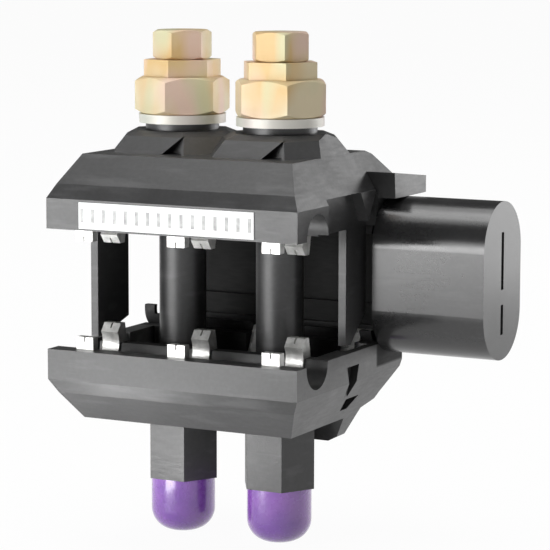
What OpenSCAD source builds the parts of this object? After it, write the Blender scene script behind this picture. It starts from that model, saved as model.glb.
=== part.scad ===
// Two-bolt insulation piercing connector for a bare main conductor and an insulated tap cable.
// Shown open, as delivered. X runs along both conductors, Y from the bare side to the tap side,
// Z up along the bolts. The origin is on the axis of the bare conductor.

/* [Jaws] */
// Length of both jaws along the conductors
jaw_length = 69.5; // [64:0.5:90]
// Gap between the two front lips when open
lip_gap = 30.2; // [28:0.2:36]
// Height of the flat band on the front of each lip
band_height = 7.6; // [6:0.2:10]
// Height of each jaw from lip edge to outer platform
jaw_height = 18.2; // [17:0.2:22]
// Distance from the bare conductor axis to the bolts
bare_offset = 21; // [20:0.5:24]
// Distance from the bolts to the tap cable axis
tap_offset = 21; // [20:0.5:23]
// Distance from the bare conductor axis to the front face
lip_depth = 10.9; // [10:0.1:13]
// Thickness of the moulded outer walls
wall = 3; // [2:0.1:4]

/* [Conductor seats] */
// Width of the rounded groove for the bare conductor
bare_groove_width = 11.6; // [10:0.2:13]
// Depth of the rounded groove below the lip edge
bare_groove_depth = 6.2; // [5:0.2:7]
// Radius of the seat for the tap cable and its seal
tap_seat_radius = 5.6; // [5:0.1:6]

/* [Bolts] */
// Distance between the two bolts
bolt_spacing = 27.8; // [26:0.2:34]
// Nominal thread diameter of the bolts
bolt_diameter = 8; // [6:1:8]
// Width across flats of the shear hexagon on top
shear_flats = 13; // [10:0.5:14]
// Height of the shear hexagon
shear_height = 7.4; // [6:0.1:10]
// Width across flats of the middle hexagon
middle_flats = 17; // [15:0.5:18]
// Height of the middle hexagon
middle_height = 4.3; // [3:0.1:6]
// Width across flats of the lowest and widest hexagon
base_flats = 21; // [19:0.5:22]
// Height of the lowest hexagon
base_height = 9.3; // [8:0.1:12]
// Distance that the washer stands out beyond the flats of the lowest hexagon
washer_rim = 0.5; // [0.2:0.1:1]
// Thickness of the washer
washer_thickness = 2.2; // [2:0.1:3]
// Height of the round seat under the washer
washer_seat_height = 1.7; // [1:0.1:2.5]
// Turn of the left bolt as delivered
left_turn = 38; // [0:1:60]
// Turn of the right bolt as delivered
right_turn = 5; // [0:1:60]

/* [Sleeves and posts] */
// Outer diameter of the sleeve round each bolt
sleeve_diameter = 12; // [11.5:0.1:13]
// Width across flats of the hexagonal nut post
post_flats = 17; // [16.6:0.1:19]
// Length of the nut post below the platform
post_length = 17.6; // [14:0.2:22]
// Width across flats of the nut
nut_flats = 13; // [10:0.5:13]
// Height of the nut
nut_height = 6.5; // [5:0.1:8]
// Outer diameter of the cap over the bolt end
bolt_cap_diameter = 16.4; // [15:0.1:16.6]
// Length of the cap over the bolt end
bolt_cap_length = 14.2; // [13:0.1:18]

/* [Contact blades] */
// Thickness of one blade
blade_thickness = 4.8; // [4:0.1:5.2]
// Width of the saw cut between the two rows of teeth
saw_cut = 0.4; // [0.3:0.1:1]
// Depth of the saw cut from the tooth tips
saw_depth = 1.3; // [0.8:0.1:2]
// Distance from the middle of the gap to the front tooth tips
front_tip = 12; // [11.6:0.1:13]
// Distance from the middle of the gap to the inner tooth tips
inner_tip = 10.2; // [10:0.1:11.4]

/* [Cable end cap] */
// Length of the end cap
end_cap_length = 30; // [24:0.5:36]
// Width of the end cap
end_cap_width = 24; // [22:0.2:25]
// Height of the end cap
end_cap_height = 39.8; // [36:0.2:40]
// Wall of the end cap
end_cap_wall = 2; // [1.5:0.1:3]

/* [Label] */
// Length of the plain strip on the upper lip
label_length = 48.5; // [30:0.5:56]
// Thickness of the plain strip
label_thickness = 0.25; // [0.1:0.05:0.4]

/* [Fits] */
// Clearance round a piece that is fixed in a jaw
fixed_gap = 0.1; // [0.05:0.01:0.2]
// Clearance round a piece that slides past another
slide_gap = 0.4; // [0.35:0.05:0.6]
// Radial clearance of the thread in the nut
thread_gap = 0.05; // [0.02:0.01:0.09]

/* [View] */

/* [Hidden] */
$fn = 64;

// Heights, measured from the middle of the gap
half = jaw_length / 2;
lip_z = lip_gap / 2;
band_z = lip_z + band_height;
chamfer_z = band_z + 3.5;
platform_z = lip_z + jaw_height;
hump_mid_z = platform_z + 4;
hump_z = platform_z + 5.2;
trough_z = lip_z + 5;
cut_out_z = lip_z + 9;
washer_diameter = base_flats + 2 * washer_rim;
washer_z = hump_z + washer_seat_height;
washer_seat_r = washer_diameter / 2 - 1.7;
hump_top_r = washer_diameter / 2 + 1.9;
hump_middle_r = hump_top_r + 3.3;
hump_foot_r = hump_middle_r + 4.7;
head_z = washer_z + washer_thickness + thread_gap;
middle_z = head_z + base_height;
shear_z = middle_z + middle_height;
nut_z = platform_z - 0.3;
post_end_z = platform_z + post_length;
travel = 16;

// Positions across the jaws, measured from the bolts
bare_y = -bare_offset;
front_y = bare_y - lip_depth;
chamfer_y = front_y + 2.1;
slope_y = front_y + 8.2;
groove_front_y = bare_y - bare_groove_width / 2;
groove_rear_y = bare_y + bare_groove_width / 2;
tap_y = tap_offset;
lower_rear_y = tap_y + tap_seat_radius + 1.9;
skirt_y = lower_rear_y + slide_gap;
rear_y = skirt_y + wall;
trough_front_y = groove_rear_y + 3.5;
trough_rear_y = tap_y - tap_seat_radius - 2.4;
rear_wall_z = 7.1;
skirt_end_z = -12;
seat_z = lip_z - 4.1;
blade_floor_z = lip_z + 9;
blade_front_y = front_y + 3.4;
blade_end_z = band_z - 1.4;
blade_tap_r = tap_seat_radius - 1.7;
tooth_width = 1.4;
tooth_y = groove_rear_y + 0.3;
tap_tip = inner_tip + 3.2;
tap_root = lip_z + 0.6;
seal_thickness = 1.6;
seal_edge_z = seat_z + 1.4;
tongue_tip_z = -14;

// Positions along the jaws
chamfer_x = half - 1.8;
platform_x = half - 5.6;
hump_x = platform_x - 2.6;
bolt_x = bolt_spacing / 2;
tongue_outer_x = half - wall + 0.2;
tongue_inner_x = tongue_outer_x - 2;
cap_x = half + slide_gap;
blade_slot_r = blade_thickness / 2 + fixed_gap;
end_cap_z = 2;
end_cap_top = end_cap_z + end_cap_height / 2;
end_cap_end_x = cap_x + end_cap_length;
hood_length = 4.8;
hood_thickness = 4.3;

bolt_r = bolt_diameter / 2;
bolt_hole_r = bolt_r + slide_gap;
sleeve_r = sleeve_diameter / 2;
sleeve_top_z = platform_z - travel + 0.4;
socket_r = sleeve_r + slide_gap;
bore_end_z = hump_z - 4;
// The outer blades stand between the bolt sockets and the guide tongues
blade_side_x = bolt_x + socket_r + blade_slot_r;
blade_room = tongue_inner_x - slide_gap - blade_slot_r - blade_side_x;
blade_x = blade_side_x + 0.75 * blade_room;
bolt_end_z = nut_z + nut_height + 2.6;

// Solids that are drawn as a flat outline in one plane and given a length in the third direction
module along_x(x0, x1) {
    translate([x0, 0, 0]) rotate([90, 0, 90]) linear_extrude(x1 - x0) children();
}

module along_y(y0, y1) {
    translate([0, y1, 0]) rotate([90, 0, 0]) linear_extrude(y1 - y0) children();
}

// Box between two corners
module span(a, b) {
    translate(a) cube([b[0] - a[0], b[1] - a[1], b[2] - a[2]]);
}

// Hexagonal column by its width across flats, flats facing front and rear
module hexagon(flats, z0, z1) {
    translate([0, 0, z0]) cylinder(r = flats / sqrt(3), h = z1 - z0, $fn = 6);
}

module rod(r, z0, z1) {
    translate([0, 0, z0]) cylinder(r = r, h = z1 - z0);
}

module at_bolts() {
    for (side = [-1, 1]) translate([side * bolt_x, 0, 0]) children();
}

// Moves a piece drawn round the bolts so that the bare conductor lies on the X axis
module seated() {
    translate([0, bare_offset, 0]) children();
}

// Outline of both jaws seen from the front: upright ends, then a small and a large bevel
module end_outline() {
    polygon([[-half, lip_z - 40], [half, lip_z - 40], [half, band_z], [chamfer_x, chamfer_z],
        [platform_x, platform_z], [hump_x, hump_z], [hump_x - 5, washer_z + 1],
        [5 - hump_x, washer_z + 1], [-hump_x, hump_z],
        [-platform_x, platform_z], [-chamfer_x, chamfer_z], [-half, band_z]]);
}

// Side outline of the upper jaw without its skirt
module upper_outline() {
    polygon([[front_y, lip_z], [rear_y, lip_z], [rear_y, band_z - 1.6], [tap_y + 5, platform_z - 5.9],
        [tap_y - 1, platform_z - 1], [tap_y - 4, platform_z], [slope_y, platform_z],
        [chamfer_y, chamfer_z], [front_y, band_z]]);
}

// Side outline of the lower jaw, drawn upwards and mirrored where it is used
module lower_outline() {
    polygon([[front_y, lip_z], [lower_rear_y, lip_z], [lower_rear_y, band_z - 1.6],
        [tap_y + 0.5, platform_z - 4.5], [tap_y - 0.5, platform_z - 2.8], [14, platform_z - 1.4],
        [11.5, platform_z + 5.4], [7.5, platform_z + 6.6], [5.5, platform_z],
        [slope_y, platform_z], [chamfer_y, chamfer_z], [front_y, band_z]]);
}

// Low six-sided hump that carries a washer
module hump() {
    foot_h = hump_mid_z - platform_z + 1;
    translate([0, 0, platform_z - 1]) cylinder(r1 = hump_foot_r, r2 = hump_middle_r, h = foot_h, $fn = 6);
    translate([0, 0, hump_mid_z])
        cylinder(r1 = hump_middle_r, r2 = hump_top_r, h = hump_z - hump_mid_z, $fn = 6);
}

// Rounded groove for the bare conductor, cut upwards from the lip edge
module bare_groove() {
    groove_r = bare_groove_width / 2;
    along_x(-half - 1, half + 1) translate([bare_y, 0]) {
        translate([0, lip_z + bare_groove_depth - groove_r]) circle(r = groove_r);
        translate([-groove_r, lip_z - 7]) square([bare_groove_width, 7 + bare_groove_depth - groove_r]);
    }
}

// Seat for the tap cable and its seal, cut upwards from the lip edge
module tap_seat() {
    along_x(-half - 1, half + 1) translate([tap_y, seat_z]) circle(r = tap_seat_radius);
}

// Side outline of an upper blade: two toothed hollows joined by a web
module blade_outline() {
    difference() {
        polygon([[blade_front_y, front_tip], [groove_front_y + 0.6, front_tip],
            [groove_front_y + 1, front_tip + 3.1], [tooth_y - 3.8, front_tip + 3.1],
            [tooth_y, inner_tip], [tooth_y + 2.1, inner_tip],
            [trough_front_y + 1.2, trough_z + 0.4], [trough_rear_y + 0.4, trough_z + 0.4],
            [tap_y - blade_tap_r, tap_tip], [tap_y - blade_tap_r + tooth_width, tap_tip],
            [tap_y - blade_tap_r + 1.6 * tooth_width, tap_root],
            [tap_y + blade_tap_r - 1.6 * tooth_width, tap_root],
            [tap_y + blade_tap_r - tooth_width, tap_tip], [tap_y + blade_tap_r, tap_tip],
            [tap_y + blade_tap_r, trough_z], [trough_front_y + 2, blade_floor_z],
            [groove_front_y + 2, blade_floor_z], [blade_front_y, blade_end_z]]);
        translate([bare_y, lip_z]) circle(r = bare_groove_width / 2 - 0.6);
    }
}

// Room for the three blades in their jaw
module blade_slots() {
    g = fixed_gap;
    for (x = [-blade_x, 0, blade_x]) along_x(x - blade_slot_r, x + blade_slot_r)
        polygon([[blade_front_y - g, lip_z - 1], [tap_y + blade_tap_r + g, lip_z - 6],
            [tap_y + blade_tap_r + g, trough_z + g], [trough_front_y + 2, blade_floor_z + g],
            [groove_front_y + 2, blade_floor_z + g], [blade_front_y - g, blade_end_z + g]]);
}

// One blade with a saw cut that leaves two rows of teeth
module blade() {
    cut = saw_cut / 2;
    difference() {
        along_x(-blade_thickness / 2, blade_thickness / 2) blade_outline();
        span([-cut, front_y, lip_z - 10], [cut, bare_y, front_tip + saw_depth]);
        span([-cut, bare_y, lip_z - 10], [cut, trough_front_y, inner_tip + saw_depth]);
        span([-cut, tap_y - tap_seat_radius, lip_z - 10], [cut, tap_y + tap_seat_radius, tap_tip + saw_depth]);
    }
}

// Guide tongue of the upper jaw, full width down to its shoulder and narrow at its tip.
// In the lower jaw the same outline, longer by the travel, is its passage.
module tongue(x0, y0, y1, shoulder_z, gap, drop) {
    along_x(x0 - gap, x0 + 2 + gap)
        polygon([[y0 - gap, trough_z], [y0 - gap, tongue_tip_z - drop - gap],
            [y0 + 3 + gap, tongue_tip_z - drop - gap], [y1 + gap, shoulder_z - drop - gap], [y1 + gap, trough_z]]);
}

module tongues(gap, drop) {
    tongue(-tongue_outer_x, groove_rear_y - 0.2, 0, -10.5, gap, drop);
    tongue(tongue_inner_x, 0.5, trough_rear_y - 1, -6.5, gap, drop);
}

// Hood over the root of the end cap, a little higher at its front
module hood_outline() {
    under_z = end_cap_top + fixed_gap;
    polygon([[13, under_z], [rear_y - 0.2, under_z], [rear_y - 0.2, under_z + hood_thickness],
        [12.4, under_z + hood_thickness + 2.2]]);
}

module upper_jaw() {
    difference() {
        union() {
            intersection() {
                union() {
                    along_x(-half, half) upper_outline();
                    at_bolts() hump();
                }
                along_y(front_y - 1, rear_y + 1) end_outline();
            }
            // rear skirt
            span([-half, skirt_y, skirt_end_z], [half, rear_y, lip_z + 1]);
            // round seats under the washers
            at_bolts() rod(washer_seat_r, hump_z - 1, washer_z);
            // hood over the end cap
            along_x(half - 4, half + hood_length) hood_outline();
        }
        bare_groove();
        tap_seat();
        blade_slots();
        // open middle between the end walls
        span([-tongue_inner_x, trough_front_y, lip_z - 1], [tongue_inner_x, trough_rear_y, trough_z]);
        // cut-outs in both end faces
        for (side = [-1, 1]) translate([side * (half + tongue_outer_x + 2) / 2, 0, 0])
            span([-(half + 2 - tongue_outer_x) / 2, groove_rear_y, lip_z - 1],
                [(half + 2 - tongue_outer_x) / 2, trough_rear_y - 1, cut_out_z]);
        // recesses on the front of the humps
        at_bolts() along_y(-19, -12.8)
            polygon([[3.6, platform_z], [9.2, platform_z], [7.9, platform_z + 4.4]]);
        at_bolts() rod(socket_r, lip_z - 1, bore_end_z);
        at_bolts() rod(bolt_hole_r, lip_z, washer_z + 1);
        cap_tab(fixed_gap);
    }
    tongues(0, 0);
    // catch beside the right cut-out
    along_x(tongue_outer_x, half) polygon([[3, cut_out_z], [7.5, lip_z + 1.6], [trough_rear_y - 1, cut_out_z]]);
}

module lower_jaw() {
    mirror([0, 0, 1]) difference() {
        union() {
            intersection() {
                along_x(-half, half) lower_outline();
                along_y(front_y - 1, rear_y + 1) end_outline();
            }
            // rear wall inside the skirt
            span([-half, lower_rear_y - 2, rear_wall_z], [half, lower_rear_y, lip_z + 1]);
            // sleeves round the bolts
            at_bolts() rod(sleeve_r, -sleeve_top_z, trough_z + 1);
            // posts that hold the nuts
            at_bolts() hexagon(post_flats, platform_z - 1, post_end_z);
        }
        bare_groove();
        tap_seat();
        blade_slots();
        // open middle round the sleeves
        difference() {
            span([-tongue_inner_x, trough_front_y, lip_z - 1], [tongue_inner_x, trough_rear_y, trough_z]);
            at_bolts() rod(sleeve_r, lip_z - 2, trough_z + 1);
        }
        // passages for the guide tongues
        mirror([0, 0, 1]) tongues(slide_gap, travel);
        // tapered notches in both end faces
        for (side = [-1, 1]) scale([side, 1, 1]) along_x(half - 2, half + 1)
            polygon([[-4.3, lip_z + 3.4], [2.6, lip_z + 3.4], [-0.4, lip_z + 12.4], [-1.6, lip_z + 12.4]]);
        at_bolts() rod(bolt_hole_r, -sleeve_top_z - 1, nut_z + 1);
        at_bolts() hexagon(nut_flats + 2 * fixed_gap, nut_z, post_end_z + 1);
    }
}

// Outline of the soft lining of a tap seat, an arc from its edge height upwards
module seal_outline(edge_z) {
    difference() {
        intersection() {
            translate([tap_y, seat_z]) circle(r = tap_seat_radius - fixed_gap);
            translate([tap_y - tap_seat_radius, edge_z]) square(2 * tap_seat_radius);
        }
        translate([tap_y, seat_z]) circle(r = tap_seat_radius - seal_thickness);
    }
}

// Soft lining with windows for the blades, which leave a rim on both sides. A collar stands
// further out of the jaw at the end where the cable enters.
module tap_seal(collar) {
    collar_end_x = -half + 3.5;
    difference() {
        along_x(collar ? -half + 0.6 : -half + 3, half - 3) seal_outline(collar ? inner_tip - 0.2 : seal_edge_z);
        if (collar) span([collar_end_x, tap_y - 2 * tap_seat_radius, 0],
            [half, tap_y + 2 * tap_seat_radius, seal_edge_z]);
        blade_slots();
    }
}

// Six-sided head with its corners turned down at top and bottom
module turned_hexagon(flats, z0, z1) {
    r = flats / sqrt(3);
    intersection() {
        hexagon(flats, z0, z1);
        rotate_extrude() polygon([[0, z0], [flats / 2 * 0.97, z0], [r, z0 + (r - flats / 2) * 0.7],
            [r, z1 - (r - flats / 2) * 0.7], [flats / 2 * 0.97, z1], [0, z1]]);
    }
}

module bolt() {
    turned_hexagon(base_flats, head_z, middle_z);
    hexagon(middle_flats, middle_z - 1, shear_z);
    turned_hexagon(shear_flats, shear_z, shear_z + shear_height);
    // the shank runs up inside all three steps and has a small chamfer at its lower end
    rotate_extrude() polygon([[0, -bolt_end_z], [bolt_r - 1, -bolt_end_z], [bolt_r, -bolt_end_z + 1],
        [bolt_r, shear_z + 1], [0, shear_z + 1]]);
}

module washer() {
    difference() {
        rod(washer_diameter / 2, washer_z, washer_z + washer_thickness);
        rod(bolt_hole_r, washer_z - 1, washer_z + washer_thickness + 1);
    }
}

module nut() {
    difference() {
        turned_hexagon(nut_flats, -nut_z - nut_height, -nut_z);
        rod(bolt_r + thread_gap, -nut_z - nut_height - 1, -nut_z + 1);
    }
}

// Domed cap with a round plug that enters the nut post
module bolt_cap() {
    r = bolt_cap_diameter / 2;
    round_r = r - 2.4;
    inner_r = nut_flats / 2 - 1.4;
    end_z = -post_end_z - bolt_cap_length;
    difference() {
        rotate_extrude() {
            translate([0, end_z + round_r]) square([r, bolt_cap_length - round_r]);
            translate([0, end_z]) square([r - round_r, round_r]);
            intersection() {
                translate([r - round_r, end_z + round_r]) circle(r = round_r);
                translate([0, end_z]) square([r, round_r]);
            }
            // plug
            translate([0, -post_end_z - 0.5]) square([nut_flats / 2 - fixed_gap, 3.5]);
        }
        rod(inner_r, end_z + 3.4, -post_end_z + 4);
        translate([0, 0, end_z + 1.6]) cylinder(r1 = inner_r - 1, r2 = inner_r, h = 1.8);
    }
}

// Outline of the end cap seen along the conductors
module cap_outline(inset) {
    r = end_cap_width / 2 - inset;
    half_flat = (end_cap_height - end_cap_width) / 2;
    for (side = [-1, 1]) translate([tap_y, end_cap_z + side * half_flat]) circle(r = r);
    translate([tap_y - r, end_cap_z - half_flat]) square([2 * r, 2 * half_flat]);
}

// Tab that fixes the end cap in the upper jaw
module cap_tab(gap) {
    span([half - 5 - gap, tap_y - 5 - gap, end_cap_top - 2.6 - gap],
        [cap_x + 3, tap_y + 5 + gap, end_cap_top - 1.2 + gap]);
}

// Narrow groove in the end face between two heights from its middle
module end_face_groove(from, to) {
    span([end_cap_end_x - 0.6, tap_y - 0.8, end_cap_z + from], [end_cap_end_x + 1, tap_y + 0.8, end_cap_z + to]);
}

module end_cap() {
    difference() {
        along_x(cap_x, end_cap_end_x) cap_outline(0);
        along_x(cap_x - 1, end_cap_end_x - end_cap_wall) cap_outline(end_cap_wall);
        // two narrow grooves in line on the end face
        end_face_groove(-13.5, -6);
        end_face_groove(-2.2, 12.2);
    }
    cap_tab(0);
}

// Plain strip on the upper front lip, a little nearer to its left end
module strip() {
    left_x = -label_length / 2 - 1;
    span([left_x, front_y - label_thickness, lip_z + 0.5], [left_x + label_length, front_y, band_z - 0.6]);
}

color([0.13, 0.13, 0.14]) seated() lower_jaw();
color([0.13, 0.13, 0.14]) seated() upper_jaw();
color([0.8, 0.8, 0.78]) seated() translate([-blade_x, 0, 0]) mirror([0, 0, 1]) blade();  // lower_blade_left
color([0.8, 0.8, 0.78]) seated() mirror([0, 0, 1]) blade();  // lower_blade_middle
color([0.8, 0.8, 0.78]) seated() translate([blade_x, 0, 0]) mirror([0, 0, 1]) blade();  // lower_blade_right
color([0.8, 0.8, 0.78]) seated() translate([-blade_x, 0, 0]) blade();  // upper_blade_left
color([0.8, 0.8, 0.78]) seated() blade();  // upper_blade_middle
color([0.8, 0.8, 0.78]) seated() translate([blade_x, 0, 0]) blade();  // upper_blade_right
color([0.2, 0.2, 0.2]) seated() mirror([0, 0, 1]) tap_seal(true);  // lower_tap_seal
color([0.2, 0.2, 0.2]) seated() tap_seal(false);  // upper_tap_seal
color([0.86, 0.76, 0.58]) seated() translate([-bolt_x, 0, 0]) rotate(left_turn) bolt();  // bolt_left
color([0.86, 0.76, 0.58]) seated() translate([bolt_x, 0, 0]) rotate(right_turn) bolt();  // bolt_right
color([0.8, 0.8, 0.76]) seated() translate([-bolt_x, 0, 0]) washer();  // washer_left
color([0.8, 0.8, 0.76]) seated() translate([bolt_x, 0, 0]) washer();  // washer_right
color([0.7, 0.7, 0.68]) seated() translate([-bolt_x, 0, 0]) nut();  // nut_left
color([0.7, 0.7, 0.68]) seated() translate([bolt_x, 0, 0]) nut();  // nut_right
color([0.45, 0.27, 0.65]) seated() translate([-bolt_x, 0, 0]) bolt_cap();  // bolt_end_cap_left
color([0.45, 0.27, 0.65]) seated() translate([bolt_x, 0, 0]) bolt_cap();  // bolt_end_cap_right
color([0.12, 0.12, 0.13]) seated() end_cap();  // cable_end_cap
color([0.95, 0.95, 0.95]) seated() strip();  // label
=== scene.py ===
"""Looks of the two-bolt insulation piercing connector: materials, soft edges, light and camera.
Metres, in the frame of the CAD model: X along the conductors, Y towards the tap side, Z up."""
import math

import bpy
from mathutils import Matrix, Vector


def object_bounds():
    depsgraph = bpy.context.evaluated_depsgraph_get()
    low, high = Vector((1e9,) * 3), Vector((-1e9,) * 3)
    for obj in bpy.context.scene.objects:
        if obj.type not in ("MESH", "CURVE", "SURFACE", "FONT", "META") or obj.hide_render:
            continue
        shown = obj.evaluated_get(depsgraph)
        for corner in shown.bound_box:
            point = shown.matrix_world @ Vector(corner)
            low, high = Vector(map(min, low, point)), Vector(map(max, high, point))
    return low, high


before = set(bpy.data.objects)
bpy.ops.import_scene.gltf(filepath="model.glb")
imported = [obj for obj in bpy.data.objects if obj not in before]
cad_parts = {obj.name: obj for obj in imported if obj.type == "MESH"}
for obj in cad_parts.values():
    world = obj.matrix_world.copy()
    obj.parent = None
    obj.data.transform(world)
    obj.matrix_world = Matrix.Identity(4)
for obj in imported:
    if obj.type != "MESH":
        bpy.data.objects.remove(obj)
cad_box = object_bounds()

MM = 0.001

# Axes of the two bolts
BOLT_X = 13.9 * MM
BOLT_Y = 21 * MM

# Painted shade in the hollow between the jaws: where each of its soft limits starts and ends
BEHIND_LIP = (5.5 * MM, 7.5 * MM)
BEFORE_SKIRT = (49.9 * MM, 50.2 * MM)
BETWEEN_JAWS = (20.5 * MM, 21.2 * MM)
BETWEEN_TONGUES = (29.2 * MM, 29.8 * MM)
TAP_SIDE = (33.5 * MM, 34.5 * MM)
ROUND_SLEEVE = (6.2 * MM, 6.6 * MM)

# Row of ticks on the label
TICK_STEP = 3.1 * MM
TICK_SHARE = 0.3
TICK_FOOT = 17.2 * MM
TICK_HEAD = 20.6 * MM

# Widths of the soft edges
JAW_EDGE = 0.35 * MM
CABLE_CAP_EDGE = 0.5 * MM
BOLT_EDGE = 0.3 * MM
NUT_EDGE = 0.2 * MM
SEAL_EDGE = 0.2 * MM
BLADE_EDGE = 0.15 * MM
LABEL_EDGE = 0.08 * MM

# Colours of the plated bolts and of the paler washers and nuts
CREAM = (0.76, 0.65, 0.44, 1)
GOLD = (0.70, 0.49, 0.23, 1)
ROSE = (0.77, 0.57, 0.46, 1)
GREEN = (0.62, 0.62, 0.40, 1)
PALE_CREAM = (0.76, 0.74, 0.68, 1)
PALE_GOLD = (0.70, 0.68, 0.60, 1)
PALE_ROSE = (0.76, 0.71, 0.66, 1)
PALE_GREEN = (0.68, 0.71, 0.63, 1)


# Camera, fitted to the photograph

VIEW_AZIMUTH = math.radians(28.1)
VIEW_ELEVATION = math.radians(7.95)
VIEW_DISTANCE = 0.647
FOCAL_PIXELS = 2557
PICTURE = 550
TARGET = Vector((0, 0.021, 0))
TARGET_PIXEL = (230.9, 282.2)
FILM_WIDTH = 36


def make_camera():
    """The photograph's camera: its direction, distance, lens and shift."""
    data = bpy.data.cameras.new("camera")
    camera = bpy.data.objects.new("camera", data)
    bpy.context.scene.collection.objects.link(camera)
    back = Vector((math.sin(VIEW_AZIMUTH) * math.cos(VIEW_ELEVATION),
                   -math.cos(VIEW_AZIMUTH) * math.cos(VIEW_ELEVATION),
                   math.sin(VIEW_ELEVATION)))
    camera.location = TARGET + back * VIEW_DISTANCE
    camera.rotation_euler = (-back).to_track_quat("-Z", "Y").to_euler()
    data.sensor_width = FILM_WIDTH
    data.lens = data.sensor_width * FOCAL_PIXELS / PICTURE
    data.shift_x = (PICTURE / 2 - TARGET_PIXEL[0]) / PICTURE
    data.shift_y = (TARGET_PIXEL[1] - PICTURE / 2) / PICTURE
    data.clip_start = 0.01
    data.clip_end = 50
    bpy.context.scene.camera = camera


# Node helpers

class Nodes:
    """Short names for building a node tree."""

    def __init__(self, tree):
        self.tree = tree
        self.tree.nodes.clear()

    def add(self, kind, inputs=None, **settings):
        node = self.tree.nodes.new(kind)
        for name, value in settings.items():
            setattr(node, name, value)
        for name, value in (inputs or {}).items():
            if isinstance(value, bpy.types.NodeSocket):
                self.tree.links.new(value, node.inputs[name])
            else:
                node.inputs[name].default_value = value
        return node

    def position(self):
        return self.add("ShaderNodeTexCoord").outputs["Object"]

    def noise(self, scale, detail=3.0, stretch=(1, 1, 1)):
        place = self.add("ShaderNodeMapping", {"Vector": self.position(), "Scale": stretch})
        node = self.add("ShaderNodeTexNoise",
                        {"Vector": place.outputs[0], "Scale": scale, "Detail": detail})
        return node.outputs["Fac"]

    def levels(self, value, low, high, out_low=0.0, out_high=1.0):
        node = self.add("ShaderNodeMapRange", {"Value": value, "From Min": low, "From Max": high,
                                               "To Min": out_low, "To Max": out_high})
        return node.outputs[0]

    def mix(self, share, first, second):
        node = self.add("ShaderNodeMix", {"Factor": share}, data_type="RGBA")
        for socket, value in (("A", first), ("B", second)):
            target = [s for s in node.inputs if s.name == socket and s.type == "RGBA"][0]
            if isinstance(value, bpy.types.NodeSocket):
                self.tree.links.new(value, target)
            else:
                target.default_value = value
        return [s for s in node.outputs if s.type == "RGBA"][0]

    def maths(self, operation, first, second=0.0):
        node = self.add("ShaderNodeMath", operation=operation)
        for index, value in enumerate((first, second)):
            if isinstance(value, bpy.types.NodeSocket):
                self.tree.links.new(value, node.inputs[index])
            else:
                node.inputs[index].default_value = value
        return node.outputs[0]

    def bump(self, height, strength, distance):
        node = self.add("ShaderNodeBump", {"Height": height, "Strength": strength,
                                           "Distance": distance})
        return node.outputs[0]

    def surface(self, **inputs):
        shader = self.add("ShaderNodeBsdfPrincipled",
                          {name.replace("_", " "): value for name, value in inputs.items()})
        output = self.add("ShaderNodeOutputMaterial")
        self.tree.links.new(shader.outputs[0], output.inputs[0])
        return shader


def new_material(name):
    material = bpy.data.materials.new(name)
    material.use_nodes = True
    return material, Nodes(material.node_tree)


def grey(value):
    return (value, value, value * 1.02, 1)


# Materials

def painted_shade_mask(n):
    """Mask of painted shade: 1 in the hollow between the jaws, where the moulding is painted near
    black and made matt, 0 elsewhere.
    """
    place = n.add("ShaderNodeSeparateXYZ", {"Vector": n.position()})
    along = n.maths("ABSOLUTE", place.outputs["X"])
    across = place.outputs["Y"]
    behind_lip = n.levels(across, *BEHIND_LIP)
    before_skirt = n.levels(across, *BEFORE_SKIRT, 1, 0)
    between_jaws = n.levels(n.maths("ABSOLUTE", place.outputs["Z"]), *BETWEEN_JAWS, 1, 0)
    inner = n.levels(along, *BETWEEN_TONGUES, 1, 0)
    room = n.maths("MAXIMUM", inner, n.levels(across, *TAP_SIDE))
    off_bolt = n.maths("SUBTRACT", along, BOLT_X)
    off_row = n.maths("SUBTRACT", across, BOLT_Y)
    distance = n.maths("SQRT", n.maths("ADD", n.maths("MULTIPLY", off_bolt, off_bolt),
                                       n.maths("MULTIPLY", off_row, off_row)))
    beside_sleeves = n.levels(distance, *ROUND_SLEEVE)
    mask = n.maths("MULTIPLY", n.maths("MULTIPLY", behind_lip, before_skirt), between_jaws)
    return n.maths("MULTIPLY", n.maths("MULTIPLY", mask, room), beside_sleeves)


def moulded_plastic(name, dark, light, rough_low, rough_high, grain=0.25, hollow=False):
    """Glass-filled black moulding: cloudy tone, fine grain, faint flow marks and light scuffs; when
    hollow is set, painted shade in the hollow between the jaws.
    """
    material, n = new_material(name)
    clouds = n.noise(60, 4)
    speckle = n.noise(900, 2)
    flow = n.noise(260, 3, (1, 1, 6))
    streaks = n.levels(n.noise(160, 5, (0.35, 1, 2.2)), 0.56, 0.72)
    tone = n.maths("ADD", n.levels(clouds, 0.35, 0.65, 0, 0.6), n.levels(speckle, 0.4, 0.7, 0, 0.4))
    colour = n.mix(tone, grey(dark), grey(light))
    colour = n.mix(n.maths("MULTIPLY", streaks, 0.35), colour, grey(light * 2.6))
    rough = n.levels(n.maths("ADD", clouds, flow), 0.7, 1.3, rough_low, rough_high)
    if hollow:
        # painted shade: the hollow between the jaws is coloured near black and made rougher
        painted_shade = painted_shade_mask(n)
        colour = n.mix(painted_shade, colour, grey(0.004))
        rough = n.maths("ADD", rough, n.maths("MULTIPLY", painted_shade, 0.45))
    height = n.maths("ADD", n.maths("MULTIPLY", speckle, 0.6), n.maths("MULTIPLY", flow, 0.4))
    n.surface(Base_Color=colour, Roughness=rough, Specular_IOR_Level=0.7,
              Normal=n.bump(height, grain, 0.00012))
    return material


def tinned_metal():
    """Bright tin with soft clouds and fine scratches, for the contact blades."""
    material, n = new_material("tinned_contact")
    cloud = n.noise(500, 3)
    scratches = n.noise(700, 2, (1, 9, 1))
    colour = n.mix(n.levels(cloud, 0.35, 0.65), (0.62, 0.62, 0.60, 1), (0.86, 0.86, 0.84, 1))
    n.surface(Base_Color=colour, Metallic=0.75, Roughness=n.levels(scratches, 0.3, 0.7, 0.28, 0.5),
              Normal=n.bump(scratches, 0.2, 0.0001))
    return material


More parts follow.
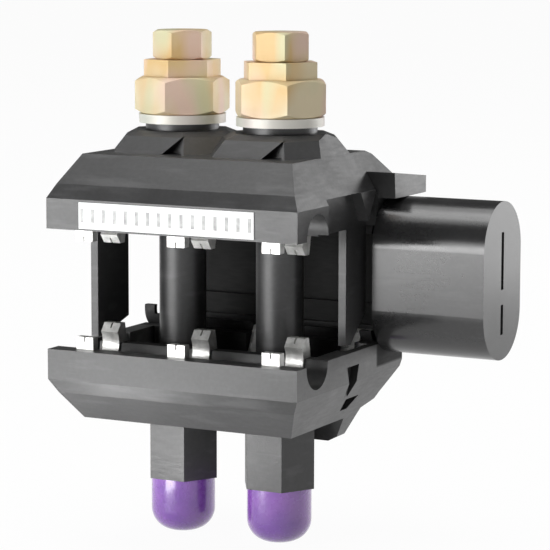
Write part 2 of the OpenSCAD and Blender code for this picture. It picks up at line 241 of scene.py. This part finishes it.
def yellow_zinc(name, cream, gold, rose, green):
    """Passivated zinc plating: cream with soft rose, green and gold clouds."""
    material, n = new_material(name)
    base = n.mix(n.levels(n.noise(55, 2), 0.42, 0.6), cream, gold)
    with_rose = n.mix(n.levels(n.noise(75, 1, (1, 1.3, 0.6)), 0.46, 0.6), base, rose)
    colour = n.mix(n.levels(n.noise(85, 1, (1.4, 1, 0.5)), 0.5, 0.66, 0, 0.8), with_rose, green)
    grain = n.noise(1400, 2)
    n.surface(Base_Color=colour, Metallic=0.15, Roughness=n.levels(grain, 0.3, 0.7, 0.38, 0.52),
              Normal=n.bump(grain, 0.12, 0.0001))
    return material


def purple_cap():
    """Glossy violet plastic with a clear skin."""
    material, n = new_material("purple_plastic")
    cloud = n.noise(120, 2)
    colour = n.mix(n.levels(cloud, 0.35, 0.65), (0.19, 0.055, 0.40, 1), (0.29, 0.10, 0.50, 1))
    n.surface(Base_Color=colour, Roughness=n.levels(n.noise(500, 2), 0.3, 0.7, 0.22, 0.32),
              Specular_IOR_Level=0.8, Coat_Weight=0.8, Coat_Roughness=0.07,
              Normal=n.bump(cloud, 0.08, 0.0002))
    return material


def soft_rubber():
    """Matt black rubber with fine grain."""
    material, n = new_material("seal_rubber")
    grain = n.noise(1100, 3)
    colour = n.mix(n.levels(n.noise(90, 3), 0.3, 0.7), grey(0.012), grey(0.03))
    n.surface(Base_Color=colour, Roughness=n.levels(grain, 0.3, 0.7, 0.55, 0.75),
              Normal=n.bump(grain, 0.3, 0.0001))
    return material


def label_film():
    """White film with a plain row of light grey ticks."""
    material, n = new_material("label_film")
    place = n.add("ShaderNodeSeparateXYZ", {"Vector": n.position()})
    along, up = place.outputs["X"], place.outputs["Z"]
    step = n.maths("FRACT", n.maths("DIVIDE", along, TICK_STEP))
    tick = n.maths("LESS_THAN", step, TICK_SHARE)
    low = n.maths("GREATER_THAN", up, TICK_FOOT)
    high = n.maths("LESS_THAN", up, TICK_HEAD)
    mask = n.maths("MULTIPLY", n.maths("MULTIPLY", tick, low), high)
    faded = n.maths("MULTIPLY", mask, n.levels(n.noise(700, 2), 0.3, 0.7, 0.5, 0.9))
    colour = n.mix(faded, (0.85, 0.85, 0.85, 1), (0.26, 0.26, 0.26, 1))
    n.surface(Base_Color=colour, Roughness=n.levels(n.noise(800, 2), 0.3, 0.7, 0.4, 0.6),
              Normal=n.bump(n.noise(300, 2), 0.1, 0.0001))
    return material


def dress(node, material):
    """Gives a CAD node its material and returns the piece."""
    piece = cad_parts[node]
    piece.data.materials.clear()
    piece.data.materials.append(material)
    return piece


def soften(piece, width, segments=2, angle=32):
    """Rounds the edges of a piece that are sharper than the angle."""
    bevel = piece.modifiers.new("soft_edges", "BEVEL")
    bevel.width = width
    bevel.segments = segments
    bevel.limit_method = "ANGLE"
    bevel.angle_limit = math.radians(angle)
    bevel.harden_normals = True
    bevel.use_clamp_overlap = True


# Floor and light

FLOOR_REACH = 6
FLOOR_DROP = 0.5 * MM
SEEN_SHARE = 0.96
MIRRORED_SHARE = 0.9

# Grey levels of the room, from straight down (0) to straight up (1)
ROOM_LEVELS = ((0.0, 0.4), (0.5, 0.4), (0.56, 0.1), (0.84, 0.08), (0.92, 0.2), (1.0, 0.35))


def make_floor(level):
    """Pale floor that looks white to the camera and in reflections, and keeps a soft shadow."""
    mesh = bpy.data.meshes.new("floor")
    corners = ((-1, -1), (1, -1), (1, 1), (-1, 1))
    mesh.from_pydata([(x * FLOOR_REACH, y * FLOOR_REACH, level) for x, y in corners],
                     [], [(0, 1, 2, 3)])
    floor = bpy.data.objects.new("floor", mesh)
    bpy.context.scene.collection.objects.link(floor)
    material = bpy.data.materials.new("pale_floor")
    material.use_nodes = True
    n = Nodes(material.node_tree)
    shader = n.add("ShaderNodeBsdfDiffuse", {"Color": (0.9, 0.9, 0.9, 1)})
    white = n.add("ShaderNodeEmission", {"Color": (1, 1, 1, 1), "Strength": 1.0})
    path = n.add("ShaderNodeLightPath")
    seen = n.maths("MULTIPLY", path.outputs["Is Camera Ray"], SEEN_SHARE)
    mirrored = n.maths("MULTIPLY", path.outputs["Is Glossy Ray"], MIRRORED_SHARE)
    share = n.maths("MAXIMUM", seen, mirrored)
    both = n.add("ShaderNodeMixShader")
    n.tree.links.new(share, both.inputs[0])
    n.tree.links.new(shader.outputs[0], both.inputs[1])
    n.tree.links.new(white.outputs[0], both.inputs[2])
    output = n.add("ShaderNodeOutputMaterial")
    n.tree.links.new(both.outputs[0], output.inputs[0])
    mesh.materials.append(material)


def make_world():
    """A grey room for the object, white where the camera sees it."""
    world = bpy.data.worlds.new("studio")
    bpy.context.scene.world = world
    world.use_nodes = True
    n = Nodes(world.node_tree)
    direction = n.add("ShaderNodeSeparateXYZ",
                      {"Vector": n.add("ShaderNodeTexCoord").outputs["Generated"]})
    ramp = n.add("ShaderNodeValToRGB", {"Fac": n.levels(direction.outputs["Z"], -1, 1)})
    elements = ramp.color_ramp.elements
    while len(elements) < len(ROOM_LEVELS):
        elements.new(0.5)
    for element, (place, level) in zip(elements, ROOM_LEVELS):
        element.position = place
        element.color = (level, level, level, 1)
    path = n.add("ShaderNodeLightPath")
    colour = n.mix(path.outputs["Is Camera Ray"], ramp.outputs["Color"], (1, 1, 1, 1))
    shine = n.add("ShaderNodeBackground", {"Color": colour, "Strength": 1.0})
    output = n.add("ShaderNodeOutputWorld")
    n.tree.links.new(shine.outputs[0], output.inputs[0])


def make_light(name, place, size, power, aim, turn):
    """A soft box that lights and is mirrored, but is not itself in the picture."""
    data = bpy.data.lights.new(name, "AREA")
    data.shape = "RECTANGLE"
    data.size, data.size_y = size
    data.energy = power
    light = bpy.data.objects.new(name, data)
    light.location = place
    light.rotation_euler = (aim - Vector(place)).to_track_quat("-Z", "Y").to_euler()
    light.rotation_euler.rotate_axis("Z", turn)
    light.visible_camera = False
    bpy.context.scene.collection.objects.link(light)


# Soft boxes: name, place, size, power, aim, turn
CARD_PLACE = (-0.054, -0.080, -0.063)
CARD_AIM = Vector((-0.054, -0.080, 1))
CARD_TURN = math.radians(28)
LIGHTS = (
    ("bounce_card", CARD_PLACE, (0.035, 0.12), 0.13, CARD_AIM, CARD_TURN),
    ("front_low", (-0.22, -0.38, 0.0), (0.36, 0.15), 1.0, TARGET, 0.0),
    ("front_left", (-0.62, -1.14, 0.16), (0.75, 0.44), 4.5, TARGET, 0.0),
    ("overhead", (-0.30, -0.10, 0.95), (0.55, 0.5), 2.0, Vector((0, 0.02, 0)), 0.0),
    ("rear_right", (0.62, 1.12, 0.24), (0.7, 0.6), 4.2, TARGET, 0.0),
    ("rear_low", (0.24, 0.46, 0.0), (0.3, 0.13), 0.15, TARGET, 0.0),
    ("floor_wash", (0.0, 0.15, 1.6), (1.6, 1.2), 14, TARGET, 0.0),
)

make_camera()
make_world()
make_floor(cad_box[0][2] - FLOOR_DROP)
for light_values in LIGHTS:
    make_light(*light_values)

jaw = moulded_plastic("black_moulding", 0.026, 0.042, 0.34, 0.46, 0.25, True)
gloss = moulded_plastic("glossy_moulding", 0.018, 0.026, 0.17, 0.25, 0.05)
contact = tinned_metal()
zinc = yellow_zinc("yellow_zinc", CREAM, GOLD, ROSE, GREEN)
pale_zinc = yellow_zinc("pale_zinc", PALE_CREAM, PALE_GOLD, PALE_ROSE, PALE_GREEN)
rubber = soft_rubber()

for name in ("lower_jaw", "upper_jaw"):
    soften(dress(name, jaw), JAW_EDGE)
soften(dress("cable_end_cap", gloss), CABLE_CAP_EDGE)
for side in ("left", "right"):
    soften(dress("bolt_" + side, zinc), BOLT_EDGE)
    soften(dress("washer_" + side, pale_zinc), BOLT_EDGE)
    soften(dress("nut_" + side, pale_zinc), NUT_EDGE)
    dress("bolt_end_cap_" + side, purple_cap())
for jaw_name in ("lower", "upper"):
    soften(dress(jaw_name + "_tap_seal", rubber), SEAL_EDGE)
    for side in ("left", "middle", "right"):
        soften(dress("%s_blade_%s" % (jaw_name, side), contact), BLADE_EDGE)
soften(dress("label", label_film()), LABEL_EDGE)

bpy.context.scene.view_settings.view_transform = "Standard"
